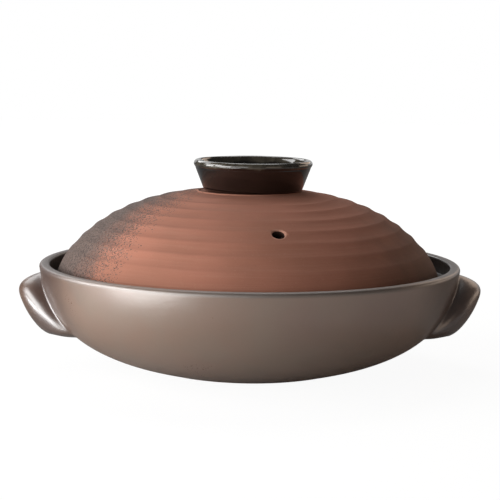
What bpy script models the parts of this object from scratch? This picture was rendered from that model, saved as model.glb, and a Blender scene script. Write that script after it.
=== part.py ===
"""A shallow earthenware hot pot with a domed lid.

The pot is a turned bowl with a gallery inside its rim, where the lid sits, and two lugs luted to
its wall. The lid is a turned dome with throwing ridges, a steam vent and a flared cup for a knob.
Metres, +Z up. The origin is on the table, under the middle of the pot. The lugs point along X.
"""

import math

import bmesh
import bpy
import numpy as np
from mathutils import Matrix, Vector

# Fits: fired clay joints and the lid's seat keep a hair of room between their faces.
JOINT_GAP = 0.0003
SEAT_GAP = 0.0003

# Pot, outside
POT_HEIGHT = 0.062
RIM_RADIUS = 0.1257
FOOT_RADIUS = 0.0577
FOOT_RING_WIDTH = 0.0080
FOOT_RECESS_DEPTH = 0.0015
FOOT_EDGE_WIDTH = 0.0026
FOOT_EDGE_HEIGHT = 0.0008
BELLY_PULL = 0.0498
BELLY_ANGLE = math.radians(13.2)
SHOULDER_PULL = 0.0294
SHOULDER_ANGLE = math.radians(8.6)

# Pot, inside
POT_WALL = 0.0070
POT_FLOOR_HEIGHT = 0.0080
POT_FLOOR_ROUND = 0.0070
RIM_THICKNESS = 0.0062
RIM_OUTER_ROUND = 0.0020
RIM_INNER_ROUND = 0.0014
GALLERY_DEPTH = 0.0090
GALLERY_WIDTH = 0.0100
GALLERY_EDGE_ROUND = 0.0010

# Lid
LID_SIDE_GAP = 0.0048
LID_SEAT_WIDTH = 0.0050
LID_WALL = 0.0060
LID_EDGE_ROUND = 0.0010
DOME_RISE = 0.0530
DOME_FULLNESS = 2.71
DOME_CROWN = 1.464

# Throwing ridges: distances run along the dome from the knob's collar to its edge. The bow is
# how far the middle ridges lie below an even spacing.
RIDGE_COUNT = 8
RIDGE_START = 0.0100
RIDGE_PITCH = 0.0105
RIDGE_BOW = 0.0012
RIDGE_WIDTH = 0.0028
RIDGE_DEPTH = 0.0005

# Steam vent, drilled square to the dome
VENT_DIAMETER = 0.0070
VENT_BEVEL = 0.0007
VENT_RADIUS = 0.0847
VENT_AZIMUTH = math.radians(-79.0)

# Knob: a flared cup luted on the crown
KNOB_FOOT_RADIUS = 0.0292
KNOB_LIP_RADIUS = 0.0355
KNOB_HEIGHT = 0.0186
KNOB_LIP_THICKNESS = 0.0042
KNOB_LIP_HEIGHT = 0.0032
KNOB_WALL = 0.0046
KNOB_CUP_DEPTH = 0.0125
KNOB_FOOT_ROUND = 0.0008
KNOB_NECK_DROP = 0.0045
KNOB_CUP_ROUND = 0.0040
COLLAR_WIDTH = 0.0024
COLLAR_RISE = 0.0005

# Lugs: slices at each height are half ellipses that grow out of the wall. A fullness is the
# power of a curve, and makes it blunter or sharper.
LUG_TOP = 0.0558
LUG_BOTTOM = 0.0177
LUG_WIDEST = 0.0272
LUG_REACH = 0.0172
LUG_HALF_WIDTH = 0.037
LUG_CROWN_FULLNESS = 1.6
LUG_FOOT_FULLNESS = 2.0
LUG_SIDE_FULLNESS = 0.75
LUG_SHOULDER_DROP = 0.0160
LUG_SHOULDER_FULLNESS = 3.0
LUG_HEEL_RISE = 0.0040
LUG_HEEL_FULLNESS = 0.4
LUG_ROOT_DEPTH = 0.0050

# Finger hollow under each lug
HOLLOW_THICKNESS = 0.0120
HOLLOW_DEPTH = 0.0180
HOLLOW_WIDTH = 0.0480

# Finish
POT_COLOUR = (0.23, 0.16, 0.125)
POT_ROUGHNESS = 0.38
POT_METALLIC = 0.35
LID_COLOUR = (0.33, 0.13, 0.085)
LID_ROUGHNESS = 0.85
KNOB_COLOUR = (0.012, 0.007, 0.006)
KNOB_ROUGHNESS = 0.12
KNOB_COAT = 0.6

# Fineness: steps round each turned shape, then along each line
POT_STEPS = 64
KNOB_STEPS = 40
VENT_STEPS = 16
WALL_POINTS = 14
EDGE_POINTS = 3
RIM_POINTS = 4
RIDGE_STEPS = 4
BAND_STEPS = 6
LID_INSIDE_POINTS = 12
KNOB_LIP_POINTS = 8
KNOB_CUP_POINTS = 4
LUG_LEVELS = 12
LUG_SIDE_STEPS = 14
HOLLOW_STEPS = 16
CURVE_SAMPLES = 400
SMOOTH_ANGLE = math.radians(38.0)
MERGE_DISTANCE = 1e-6

# Heights and radii that follow from the sizes above
GALLERY_HEIGHT = POT_HEIGHT - GALLERY_DEPTH
RIM_INNER_RADIUS = RIM_RADIUS - RIM_THICKNESS
GALLERY_RADIUS = RIM_INNER_RADIUS - GALLERY_WIDTH
LID_RADIUS = RIM_INNER_RADIUS - LID_SIDE_GAP
LID_BOTTOM = GALLERY_HEIGHT + SEAT_GAP
COLLAR_RADIUS = KNOB_FOOT_RADIUS + COLLAR_WIDTH


def clear_scene():
    for old in list(bpy.data.objects):
        bpy.data.objects.remove(old, do_unlink=True)


def material(name, colour, roughness, metallic=0.0, coat=0.0):
    """A Principled BSDF material with one plain colour."""
    made = bpy.data.materials.new(name)
    made.use_nodes = True
    shader = made.node_tree.nodes["Principled BSDF"]
    shader.inputs["Base Color"].default_value = (*colour, 1.0)
    shader.inputs["Roughness"].default_value = roughness
    shader.inputs["Metallic"].default_value = metallic
    shader.inputs["Coat Weight"].default_value = coat
    made.diffuse_color = (*colour, 1.0)
    return made


# Curves in the (radius, height) plane

def cubic(start, pull_start, pull_end, end, count):
    """Points of a Bezier cubic, both ends included."""
    t = np.linspace(0.0, 1.0, count)[:, None]
    parts = ((1 - t) ** 3, 3 * (1 - t) ** 2 * t, 3 * (1 - t) * t ** 2, t ** 3)
    corners = (start, pull_start, pull_end, end)
    return sum(part * np.array(corner) for part, corner in zip(parts, corners))


def arc(centre, radius, first_degrees, last_degrees, count):
    """Points of a circular arc, both ends included."""
    angles = np.radians(np.linspace(first_degrees, last_degrees, count))
    return np.array(centre) + radius * np.stack((np.cos(angles), np.sin(angles)), axis=1)


def outward_normals(points):
    """Unit normals of a line that runs down the outer side of a turned shape."""
    along = np.gradient(points, axis=0)
    along /= np.linalg.norm(along, axis=1)[:, None]
    return np.stack((-along[:, 1], along[:, 0]), axis=1)


def grown(points, distance):
    """The same line, moved outwards by a distance square to itself."""
    return points + distance * outward_normals(points)


def pot_outside(count):
    """The pot's outer wall, from the rim's outer edge down to the foot."""
    rim_edge = (RIM_RADIUS, POT_HEIGHT - RIM_OUTER_ROUND)
    foot_edge = (FOOT_RADIUS + FOOT_EDGE_WIDTH, FOOT_EDGE_HEIGHT)
    shoulder = (rim_edge[0] - SHOULDER_PULL * math.sin(SHOULDER_ANGLE),
                rim_edge[1] - SHOULDER_PULL * math.cos(SHOULDER_ANGLE))
    belly = (foot_edge[0] + BELLY_PULL * math.cos(BELLY_ANGLE),
             foot_edge[1] + BELLY_PULL * math.sin(BELLY_ANGLE))
    return cubic(rim_edge, shoulder, belly, foot_edge, count)


def wall_radius(height):
    """The pot's outer radius at a height."""
    line = pot_outside(CURVE_SAMPLES)[::-1]
    return float(np.interp(height, line[:, 1], line[:, 0]))


def dome_height(radius):
    """The height of the lid's smooth outer dome at a radius."""
    share = np.clip(np.asarray(radius) / LID_RADIUS, 0.0, 1.0)
    return LID_BOTTOM + DOME_RISE * (1.0 - share ** DOME_FULLNESS) ** (1.0 / DOME_CROWN)


def dome_line():
    """The dome's smooth outer line, from the knob's collar down to its edge."""
    start = math.asin((COLLAR_RADIUS / LID_RADIUS) ** (DOME_FULLNESS / 2.0))
    turn = np.linspace(start, math.pi / 2.0, CURVE_SAMPLES)
    radii = LID_RADIUS * np.sin(turn) ** (2.0 / DOME_FULLNESS)
    heights = LID_BOTTOM + DOME_RISE * np.abs(np.cos(turn)) ** (2.0 / DOME_CROWN)
    return np.stack((radii, heights), axis=1)


def run_along(line):
    """How far each point of a line lies from its start."""
    steps = np.linalg.norm(np.diff(line, axis=0), axis=1)
    return np.concatenate(([0.0], np.cumsum(steps)))


def moved_out(line, distances, rises):
    """Points at distances along a line, moved out of it by rises."""
    run = run_along(line)
    normals = outward_normals(line)
    spots = [np.interp(distances, run, line[:, i]) for i in (0, 1)]
    facing = [np.interp(distances, run, normals[:, i]) for i in (0, 1)]
    return np.stack([spots[i] + rises * facing[i] for i in (0, 1)], axis=1)


def ridge_crests(length):
    """Distances of the ridges' crests from the collar, as far as a smooth band at the edge."""
    ridge = np.arange(RIDGE_COUNT)
    bow = RIDGE_BOW * np.sin(math.pi * ridge / (RIDGE_COUNT - 1))
    crests = RIDGE_START + RIDGE_PITCH * ridge + bow
    return crests[crests < length - RIDGE_PITCH]


def ridged_dome():
    """The dome's outer line with its ridges, from the collar down to the edge.

    Each ridge is a narrow bead. The smooth dome runs through the middle of their height.
    """
    line = dome_line()
    length = run_along(line)[-1]
    crests = ridge_crests(length)
    marks = np.concatenate(([0.0], crests))
    phase = np.arange(RIDGE_STEPS) / RIDGE_STEPS
    distances = [left + phase * (right - left) for left, right in zip(marks[:-1], marks[1:])]
    distances.append(np.linspace(marks[-1], length - LID_EDGE_ROUND, BAND_STEPS))
    distances = np.concatenate(distances)
    beads = sum(np.exp(-((distances - crest) / RIDGE_WIDTH) ** 2) for crest in crests)
    band = np.clip((distances - marks[-1]) / (length - marks[-1]), 0.0, 1.0)
    return moved_out(line, distances, RIDGE_DEPTH * (beads - 0.5 * (1.0 - band)))


# Meshes

def finish_mesh(name, shape, look):
    """Turn a bmesh into a smooth-shaded object with outward faces."""
    bmesh.ops.remove_doubles(shape, verts=shape.verts, dist=MERGE_DISTANCE)
    bmesh.ops.recalc_face_normals(shape, faces=shape.faces)
    mesh = bpy.data.meshes.new(name)
    shape.to_mesh(mesh)
    shape.free()
    mesh.shade_smooth()
    mesh.set_sharp_from_angle(angle=SMOOTH_ANGLE)
    mesh.materials.append(look)
    made = bpy.data.objects.new(name, mesh)
    bpy.context.scene.collection.objects.link(made)
    return made


def turned(name, profile, look, steps):
    """Spin a profile that starts and ends on the Z axis into a closed solid."""
    shape = bmesh.new()
    spots = [shape.verts.new((radius, 0.0, height)) for radius, height in profile]
    lines = [shape.edges.new(pair) for pair in zip(spots[:-1], spots[1:])]
    bmesh.ops.spin(shape, geom=spots + lines, cent=(0, 0, 0), axis=(0, 0, 1),
                   angle=2.0 * math.pi, steps=steps, use_merge=True)
    return finish_mesh(name, shape, look)


def make_cutter(cutter):
    """Hide an object that only cuts others."""
    cutter.hide_render = True
    cutter.display_type = "WIRE"
    return cutter


def cut(target, cutter):
    knife = target.modifiers.new("cut_" + cutter.name, "BOOLEAN")
    knife.operation = "DIFFERENCE"
    knife.solver = "EXACT"
    knife.object = cutter


def empty(name, height):
    made = bpy.data.objects.new(name, None)
    made.location = (0.0, 0.0, height)
    bpy.context.scene.collection.objects.link(made)
    return made


def mount_on(child, parent):
    """Parent an object without moving it."""
    child.parent = parent
    child.matrix_parent_inverse = Matrix.Translation(-parent.location)


# Pot

def pot_profile():
    """Inner floor, inner wall, gallery, rim, outer wall and foot, in that order."""
    inside = grown(pot_outside(WALL_POINTS), -POT_WALL)[::-1]
    inside = inside[(inside[:, 1] > POT_FLOOR_HEIGHT) & (inside[:, 0] < GALLERY_RADIUS)]
    ledge_edge = arc((GALLERY_RADIUS + GALLERY_EDGE_ROUND, GALLERY_HEIGHT - GALLERY_EDGE_ROUND),
                     GALLERY_EDGE_ROUND, 180, 90, EDGE_POINTS)
    ledge_corner = [(RIM_INNER_RADIUS - GALLERY_EDGE_ROUND, GALLERY_HEIGHT),
                    (RIM_INNER_RADIUS, GALLERY_HEIGHT + GALLERY_EDGE_ROUND)]
    rim_inner = arc((RIM_INNER_RADIUS + RIM_INNER_ROUND, POT_HEIGHT - RIM_INNER_ROUND),
                    RIM_INNER_ROUND, 180, 90, EDGE_POINTS)
    rim_outer = arc((RIM_RADIUS - RIM_OUTER_ROUND, POT_HEIGHT - RIM_OUTER_ROUND),
                    RIM_OUTER_ROUND, 90, 0, RIM_POINTS)
    foot = [(FOOT_RADIUS, 0.0),
            (FOOT_RADIUS - FOOT_RING_WIDTH, 0.0),
            (FOOT_RADIUS - FOOT_RING_WIDTH - FOOT_RECESS_DEPTH, FOOT_RECESS_DEPTH),
            (0.0, FOOT_RECESS_DEPTH)]
    floor = [(0.0, POT_FLOOR_HEIGHT),
             (inside[0, 0] - POT_FLOOR_ROUND, POT_FLOOR_HEIGHT)]
    return np.concatenate((floor, inside, ledge_edge, ledge_corner, rim_inner, rim_outer,
                           pot_outside(WALL_POINTS)[1:], foot))


def build_pot(glaze, parent):
    pot = turned("pot_body", pot_profile(), glaze, POT_STEPS)
    mount_on(pot, parent)
    return pot


# Lugs

def lug_reach(height):
    """How far the lug stands out of the wall: a sloping shoulder over a blunt heel."""
    below_top = min((LUG_TOP - height) / LUG_SHOULDER_DROP, 1.0)
    above_heel = min((height - LUG_BOTTOM) / LUG_HEEL_RISE, 1.0)
    shoulder = 1.0 - (1.0 - below_top) ** LUG_SHOULDER_FULLNESS
    heel = (1.0 - (1.0 - above_heel) ** 2) ** LUG_HEEL_FULLNESS
    return LUG_REACH * shoulder * heel


def lug_half_width(height):
    """Half the lug's width along the wall: an arched crown over a rounded lower edge."""
    if height > LUG_WIDEST:
        share = ((height - LUG_WIDEST) / (LUG_TOP - LUG_WIDEST)) ** LUG_CROWN_FULLNESS
    else:
        share = ((LUG_WIDEST - height) / (LUG_WIDEST - LUG_BOTTOM)) ** LUG_FOOT_FULLNESS
    return LUG_HALF_WIDTH * (1.0 - share) ** LUG_SIDE_FULLNESS


def lug_slice(height):
    """One level of the lug: half an ellipse outside the wall, closed inside it."""
    wall = wall_radius(height)
    half_width = lug_half_width(height)
    root = math.sqrt(wall ** 2 - half_width ** 2)
    depth = wall + lug_reach(height) - root
    points = [(root - LUG_ROOT_DEPTH, half_width, height)]
    for step in range(LUG_SIDE_STEPS + 1):
        turn = math.pi * step / LUG_SIDE_STEPS
        points.append((root + depth * math.sin(turn), half_width * math.cos(turn), height))
    points.append((root - LUG_ROOT_DEPTH, -half_width, height))
    return points


def build_lug_blank(name, glaze):
    """Loft the slices of a lug that points along +X."""
    shape = bmesh.new()
    rings = []
    for level in range(1, LUG_LEVELS):
        share = 0.5 - 0.5 * math.cos(math.pi * level / LUG_LEVELS)
        height = LUG_BOTTOM + share * (LUG_TOP - LUG_BOTTOM)
        rings.append([shape.verts.new(point) for point in lug_slice(height)])
    for low, high in zip(rings[:-1], rings[1:]):
        for i in range(len(low)):
            j = (i + 1) % len(low)
            shape.faces.new((low[i], low[j], high[j], high[i]))
    shape.faces.new(rings[0])
    shape.faces.new(rings[-1])
    return finish_mesh(name, shape, glaze)


def build_wall_cutter(glaze):
    """The pot's outside, larger by the joint's gap, which trims the lugs to the wall."""
    line = grown(pot_outside(WALL_POINTS), JOINT_GAP)
    over = (0.0, line[0, 1] + LUG_REACH)
    top = (line[0, 0], line[0, 1] + LUG_REACH)
    under = (0.0, line[-1, 1])
    return make_cutter(turned("wall_cutter", np.concatenate(([over, top], line, [under])),
                              glaze, POT_STEPS))


def build_hollow_cutter(name, glaze):
    """An ellipsoid under the lug that lies along the wall, open downwards."""
    low, high = LUG_BOTTOM, LUG_BOTTOM + HOLLOW_DEPTH
    lean = math.atan2(wall_radius(high) - wall_radius(low), HOLLOW_DEPTH)
    shape = bmesh.new()
    bmesh.ops.create_uvsphere(shape, u_segments=HOLLOW_STEPS, v_segments=HOLLOW_STEPS // 2,
                              radius=1.0)
    size = Matrix.Diagonal((HOLLOW_THICKNESS / 2, HOLLOW_WIDTH / 2, HOLLOW_DEPTH, 1.0))
    tilt = Matrix.Rotation(lean, 4, "Y")
    middle = Vector((wall_radius(low) + HOLLOW_THICKNESS / 2 * math.cos(lean), 0.0,
                     low - HOLLOW_THICKNESS / 2 * math.sin(lean)))
    bmesh.ops.transform(shape, matrix=Matrix.Translation(middle) @ tilt @ size,
                        verts=shape.verts)
    return make_cutter(finish_mesh(name, shape, glaze))


def build_lugs(glaze, parent):
    wall_cutter = build_wall_cutter(glaze)
    right = build_lug_blank("handle_right", glaze)
    left = bpy.data.objects.new("handle_left", right.data)
    bpy.context.scene.collection.objects.link(left)
    right_hollow = build_hollow_cutter("finger_hollow_right", glaze)
    left_hollow = make_cutter(bpy.data.objects.new("finger_hollow_left", right_hollow.data))
    bpy.context.scene.collection.objects.link(left_hollow)
    for turned_piece in (left, left_hollow):
        turned_piece.rotation_euler.z = math.pi
    for lug, hollow in ((right, right_hollow), (left, left_hollow)):
        mount_on(lug, parent)
        cut(lug, wall_cutter)
        cut(lug, hollow)


# Lid

def lid_profile():
    """Crown, ridged dome, edge, seat and the inside of the dome, in that order."""
    crown = dome_height(COLLAR_RADIUS)
    outside = ridged_dome()
    land = [(0.0, crown),
            (KNOB_FOOT_RADIUS + JOINT_GAP, crown),
            (COLLAR_RADIUS - COLLAR_WIDTH / 2, crown + COLLAR_RISE)]
    edge = arc((LID_RADIUS - LID_EDGE_ROUND, LID_BOTTOM + LID_EDGE_ROUND),
               LID_EDGE_ROUND, 0, -90, EDGE_POINTS)
    seat_inner = LID_RADIUS - LID_SEAT_WIDTH - LID_EDGE_ROUND
    line = dome_line()
    distances = np.linspace(0.0, run_along(line)[-1], LID_INSIDE_POINTS)
    inside = moved_out(line, distances, -LID_WALL)[::-1]
    inside = inside[inside[:, 0] < seat_inner - LID_EDGE_ROUND]
    inside = inside[inside[:, 1] > LID_BOTTOM + LID_EDGE_ROUND]
    return np.concatenate((land, outside, edge, [(seat_inner, LID_BOTTOM)], inside,
                           [(0.0, crown - LID_WALL)]))


def build_vent_cutter(clay):
    """A drill with a countersink, standing square to the dome."""
    radius = VENT_DIAMETER / 2
    near = dome_height(VENT_RADIUS - radius)
    far = dome_height(VENT_RADIUS + radius)
    slope = math.atan2(near - far, VENT_DIAMETER)
    sink = VENT_BEVEL + RIDGE_DEPTH
    over, under = LID_WALL, -2.0 * LID_WALL
    profile = [(0.0, over), (radius + sink + over, over), (radius, -sink),
               (radius, under), (0.0, under)]
    cutter = make_cutter(turned("vent_cutter", profile, clay, VENT_STEPS))
    place = Vector((VENT_RADIUS * math.cos(VENT_AZIMUTH), VENT_RADIUS * math.sin(VENT_AZIMUTH),
                    float(dome_height(VENT_RADIUS))))
    facing = Matrix.Rotation(VENT_AZIMUTH, 4, "Z") @ Matrix.Rotation(slope, 4, "Y")
    cutter.matrix_world = Matrix.Translation(place) @ facing
    return cutter


def build_lid(clay, parent):
    lid = turned("lid_dome", lid_profile(), clay, POT_STEPS)
    cut(lid, build_vent_cutter(clay))
    mount_on(lid, parent)


# Knob

def knob_profile():
    """Inside of the cup, lip, flared outside and foot, in that order."""
    foot = float(dome_height(COLLAR_RADIUS)) + JOINT_GAP
    top = foot + KNOB_HEIGHT
    floor = top - KNOB_CUP_DEPTH
    flare = (KNOB_LIP_RADIUS - KNOB_FOOT_RADIUS) / (KNOB_HEIGHT - KNOB_LIP_HEIGHT / 2)
    lip_middle = (KNOB_LIP_RADIUS - KNOB_LIP_THICKNESS / 2, top - KNOB_LIP_HEIGHT / 2)
    lip = (lip_middle + (arc((0.0, 0.0), 1.0, 150, -30, KNOB_LIP_POINTS)
                         * (KNOB_LIP_THICKNESS / 2, KNOB_LIP_HEIGHT / 2)))
    cup_radius = KNOB_FOOT_RADIUS + flare * (floor - foot) - KNOB_WALL
    cup_corner = arc((cup_radius - KNOB_CUP_ROUND, floor + KNOB_CUP_ROUND), KNOB_CUP_ROUND,
                     -90, -20, KNOB_CUP_POINTS)
    cup = np.concatenate(([(0.0, floor)], cup_corner))
    neck_height = top - KNOB_NECK_DROP
    outside = [(KNOB_FOOT_RADIUS + flare * (neck_height - foot), neck_height),
               (KNOB_FOOT_RADIUS + flare * (neck_height - foot) / 2, (neck_height + foot) / 2),
               (KNOB_FOOT_RADIUS + flare * KNOB_FOOT_ROUND, foot + KNOB_FOOT_ROUND),
               (KNOB_FOOT_RADIUS - KNOB_FOOT_ROUND, foot),
               (0.0, foot)]
    return np.concatenate((cup, lip, outside))


def build_knob(glaze, parent):
    knob = turned("lid_knob", knob_profile(), glaze, KNOB_STEPS)
    mount_on(knob, parent)


def main():
    clear_scene()
    pot_glaze = material("bronze_glaze", POT_COLOUR, POT_ROUGHNESS, metallic=POT_METALLIC)
    clay = material("terracotta", LID_COLOUR, LID_ROUGHNESS)
    knob_glaze = material("black_glaze", KNOB_COLOUR, KNOB_ROUGHNESS, coat=KNOB_COAT)
    pot_frame = empty("pot_frame", 0.0)
    lid_frame = empty("lid_frame", LID_BOTTOM)
    build_pot(pot_glaze, pot_frame)
    build_lugs(pot_glaze, pot_frame)
    build_lid(clay, lid_frame)
    build_knob(knob_glaze, lid_frame)


main()
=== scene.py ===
"""The look of a lidded earthenware hot pot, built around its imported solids.

Each solid is replaced by a finer piece on the same body: the glazed pot and its two lugs, the
turned lid with its throwing ridges, steam vent and sprayed side, and the glossy cup knob.
Metres, +Z up. The origin is on the table, under the middle of the pot. The lugs point along X.
"""

import math

import bmesh
import bpy
import numpy as np
from mathutils import Matrix, Vector


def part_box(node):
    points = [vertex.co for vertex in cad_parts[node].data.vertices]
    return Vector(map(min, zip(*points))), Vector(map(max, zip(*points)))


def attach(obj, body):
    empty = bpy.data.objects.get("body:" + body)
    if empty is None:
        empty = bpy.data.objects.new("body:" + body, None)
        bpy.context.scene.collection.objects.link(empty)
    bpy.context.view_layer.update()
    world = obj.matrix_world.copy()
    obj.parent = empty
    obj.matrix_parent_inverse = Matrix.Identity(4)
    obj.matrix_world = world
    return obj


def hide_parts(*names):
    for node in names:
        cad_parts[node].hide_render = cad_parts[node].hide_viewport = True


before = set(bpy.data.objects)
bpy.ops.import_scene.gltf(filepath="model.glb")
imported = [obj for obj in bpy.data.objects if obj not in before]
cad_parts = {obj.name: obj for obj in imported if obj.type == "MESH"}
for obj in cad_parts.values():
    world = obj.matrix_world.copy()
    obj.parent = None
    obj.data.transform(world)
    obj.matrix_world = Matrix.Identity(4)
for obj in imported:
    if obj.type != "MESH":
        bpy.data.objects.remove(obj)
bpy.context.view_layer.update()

# Sizes read from the frame
POT_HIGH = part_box("pot_body")[1]
LID_LOW, LID_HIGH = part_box("lid_dome")
KNOB_LOW, KNOB_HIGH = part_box("lid_knob")
POT_HEIGHT = POT_HIGH.z
RIM_RADIUS = POT_HIGH.x
LID_RADIUS = LID_HIGH.x
LID_BOTTOM = LID_LOW.z
KNOB_FOOT_HEIGHT = KNOB_LOW.z
KNOB_TOP = KNOB_HIGH.z
KNOB_LIP_RADIUS = KNOB_HIGH.x

# Pot
FOOT_RADIUS = 0.0577
FOOT_RING_WIDTH = 0.0080
FOOT_RECESS_DEPTH = 0.0015
FOOT_EDGE_WIDTH = 0.0026
FOOT_EDGE_HEIGHT = 0.0008
BELLY_PULL = 0.0498
BELLY_ANGLE = math.radians(13.2)
SHOULDER_PULL = 0.0294
SHOULDER_ANGLE = math.radians(8.6)
POT_WALL = 0.0070
POT_FLOOR_HEIGHT = 0.0080
POT_FLOOR_ROUND = 0.0070
RIM_THICKNESS = 0.0062
RIM_OUTER_ROUND = 0.0020
RIM_LIFT = 0.0006
RIM_TOP = POT_HEIGHT + RIM_LIFT
RIM_INNER_ROUND = 0.0014
GALLERY_DEPTH = 0.0090
GALLERY_WIDTH = 0.0100
GALLERY_EDGE_ROUND = 0.0010
POT_UNEVEN = 0.00010
# The lining covers faces up to this far past the rim's inner edge and below the floor, where
# they look outwards by less than this share
LINING_EDGE = 0.0004
LINING_TILT = 0.3

# Lid
LID_SEAT_WIDTH = 0.0050
LID_WALL = 0.0060
LID_EDGE_ROUND = 0.0010
DOME_RISE = 0.0530
DOME_FULLNESS = 2.71
DOME_CROWN = 1.464
COLLAR_WIDTH = 0.0024
COLLAR_RISE = 0.0005
COLLAR_BEAD = 0.0008
COLLAR_BEAD_REACH = COLLAR_BEAD * 1.2
LID_SHIFT = -0.0013

# Throwing ridges: distances run along the dome from the knob's collar to its edge
RIDGE_COUNT = 8
RIDGE_START = 0.0105
RIDGE_PITCH = 0.0105
RIDGE_BOW = 0.0010
RIDGE_DEPTH = 0.00058
RIDGE_ROUND = 0.0005
RIDGE_FIRST = 0.5
RIDGE_LAST = 1.1
RIDGE_WANDER = 0.0007
RIDGE_VARIETY = 0.22

# Steam vent, drilled square to the dome
VENT_DIAMETER = 0.0070
VENT_BEVEL = 0.0008
VENT_BEVEL_ROUND = VENT_BEVEL * 1.5
VENT_RADIUS = 0.0845
VENT_AZIMUTH = math.radians(-78.5)

# Knob
KNOB_FOOT_RADIUS = 0.0292
KNOB_LIP_THICKNESS = 0.0042
KNOB_LIP_HEIGHT = 0.0046
KNOB_WALL = 0.0046
KNOB_CUP_DEPTH = 0.0125
KNOB_FOOT_ROUND = 0.0008
KNOB_NECK_DROP = 0.0052
KNOB_NECK_HOLLOW = 0.0005
KNOB_CUP_ROUND = 0.0040
KNOB_CUP_TURN = (-90, -20)
KNOB_LIP_TURN = (165, -40)
KNOB_UNEVEN = 0.00012
KNOB_SHIFT = 0.0013

# Lugs: slices at each height are half ellipses that grow out of the wall. A fullness is the
# power of a curve, and makes it blunter or sharper.
LUG_TOP = 0.0558
LUG_BOTTOM = 0.0177
LUG_WIDEST = 0.0255
LUG_REACH = 0.0171
LUG_HALF_WIDTH = 0.037
LUG_CROWN_FULLNESS = 1.5
LUG_FOOT_FULLNESS = 2.0
LUG_SIDE_FULLNESS = 0.65
LUG_SHOULDER_DROP_LEFT = 0.0150
LUG_SHOULDER_DROP_RIGHT = 0.0135
LUG_SHOULDER_FULLNESS = 3.0
LUG_HEEL_RISE = 0.0040
LUG_HEEL_FULLNESS = 0.4
LUG_ROOT_DEPTH = 0.0050
HOLLOW_THICKNESS = 0.0130
HOLLOW_DEPTH = 0.0180
HOLLOW_WIDTH = 0.0660
LUG_LIFT_RIGHT = 0.00065
LUG_LIFT_LEFT = -0.0008
WALL_PATCH_MARGIN = 0.0060
WALL_PATCH_DEPTH = 0.0001
LUG_OVERLAP = 0.00005
LUG_VOXEL = 0.0005
LUG_SMOOTHING = 24
LUG_SOFTNESS = 0.5

# Fineness: steps round each turned shape, then along each line
TURN_STEPS = 256
KNOB_STEPS = 160
VENT_STEPS = 48
WALL_POINTS = 72
RIDGE_POINTS = 190
ROUND_POINTS = 8
LUG_LEVELS = 56
LUG_SIDE_STEPS = 72
PATCH_STEPS = 40
HOLLOW_SUBDIVISIONS = 4
RECESS_POINTS = 3
SEAT_POINTS = 4
KNOB_FOOT_POINTS = 4
CURVE_SAMPLES = 400
RIDGE_SAMPLES = 1600
BLUR_STEPS = 40
# The floor's round takes its slope from this many samples of the wall
SLOPE_SAMPLES = 8
# Points closer than this are one point
TOUCHING = 1e-6

# Unevenness: the seed of each set of waves, and how much they lean along the line
WAVE_COUNT = 6
POT_WAVES = (11, 60.0)
WANDER_WAVES = (23, 40.0)
VARIETY_WAVES = (37, 90.0)
KNOB_WAVES = (5, 300.0)

# Camera: a long lens a little above the rim, looking down at the middle of the pot
CAMERA_PLACE = (0.0, -0.965, 0.1925)
CAMERA_PITCH = math.radians(82.74)
CAMERA_ROLL = math.radians(0.70)
CAMERA_LENS = 116.5
CAMERA_SENSOR = 36.0


# Curves in the (radius, height) plane

def cubic(start, pull_start, pull_end, end, count):
    """Points of a Bezier cubic, both ends included."""
    t = np.linspace(0.0, 1.0, count)[:, None]
    parts = ((1 - t) ** 3, 3 * (1 - t) ** 2 * t, 3 * (1 - t) * t ** 2, t ** 3)
    corners = (start, pull_start, pull_end, end)
    return sum(part * np.array(corner) for part, corner in zip(parts, corners))


def arc(centre, radius, first_degrees, last_degrees, count=ROUND_POINTS):
    """Points of a circular arc, both ends included. The radius may differ along the two axes."""
    angles = np.radians(np.linspace(first_degrees, last_degrees, count))
    return np.array(centre) + np.array(radius) * np.stack((np.cos(angles), np.sin(angles)), axis=1)


def straight(start, end, count=ROUND_POINTS):
    """Points of a straight line, both ends included."""
    return np.linspace(start, end, count)


def outward_normals(points):
    """Unit normals of a line that runs down the outer side of a turned shape."""
    along = np.gradient(points, axis=0)
    along /= np.linalg.norm(along, axis=1)[:, None]
    return np.stack((-along[:, 1], along[:, 0]), axis=1)


def grown(points, distance):
    """The same line, moved outwards by a distance square to itself."""
    return points + distance * outward_normals(points)


def run_along(line):
    """How far each point of a line lies from its start."""
    steps = np.linalg.norm(np.diff(line, axis=0), axis=1)
    return np.concatenate(([0.0], np.cumsum(steps)))


def respaced(line, count):
    """The same line with evenly spaced points."""
    run = run_along(line)
    spots = np.linspace(0.0, run[-1], count)
    return np.stack([np.interp(spots, run, line[:, i]) for i in (0, 1)], axis=1)


def joined(*lines):
    """One line out of several, without doubled points."""
    points = np.concatenate([np.atleast_2d(line) for line in lines])
    steps = np.linalg.norm(np.diff(points, axis=0), axis=1)
    return points[np.concatenate(([True], steps > TOUCHING))]


def waves(run, turn, kind):
    """Smooth unevenness of about -1 to 1 that closes on itself round the axis."""
    seed, slope = kind
    draw = np.random.default_rng(seed)
    total = 0.0
    for order in range(1, WAVE_COUNT + 1):
        lean, phase = draw.uniform(-slope, slope), draw.uniform(0.0, 2.0 * math.pi)
        total = total + np.cos(order * turn + lean * run + phase)
    return total / math.sqrt(WAVE_COUNT)


def hollows(run, turn, kind):
    """The same unevenness from 0 to 1, for a surface that only ever sinks."""
    return 0.5 + 0.5 * np.clip(waves(run, turn, kind), -1.0, 1.0)


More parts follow.
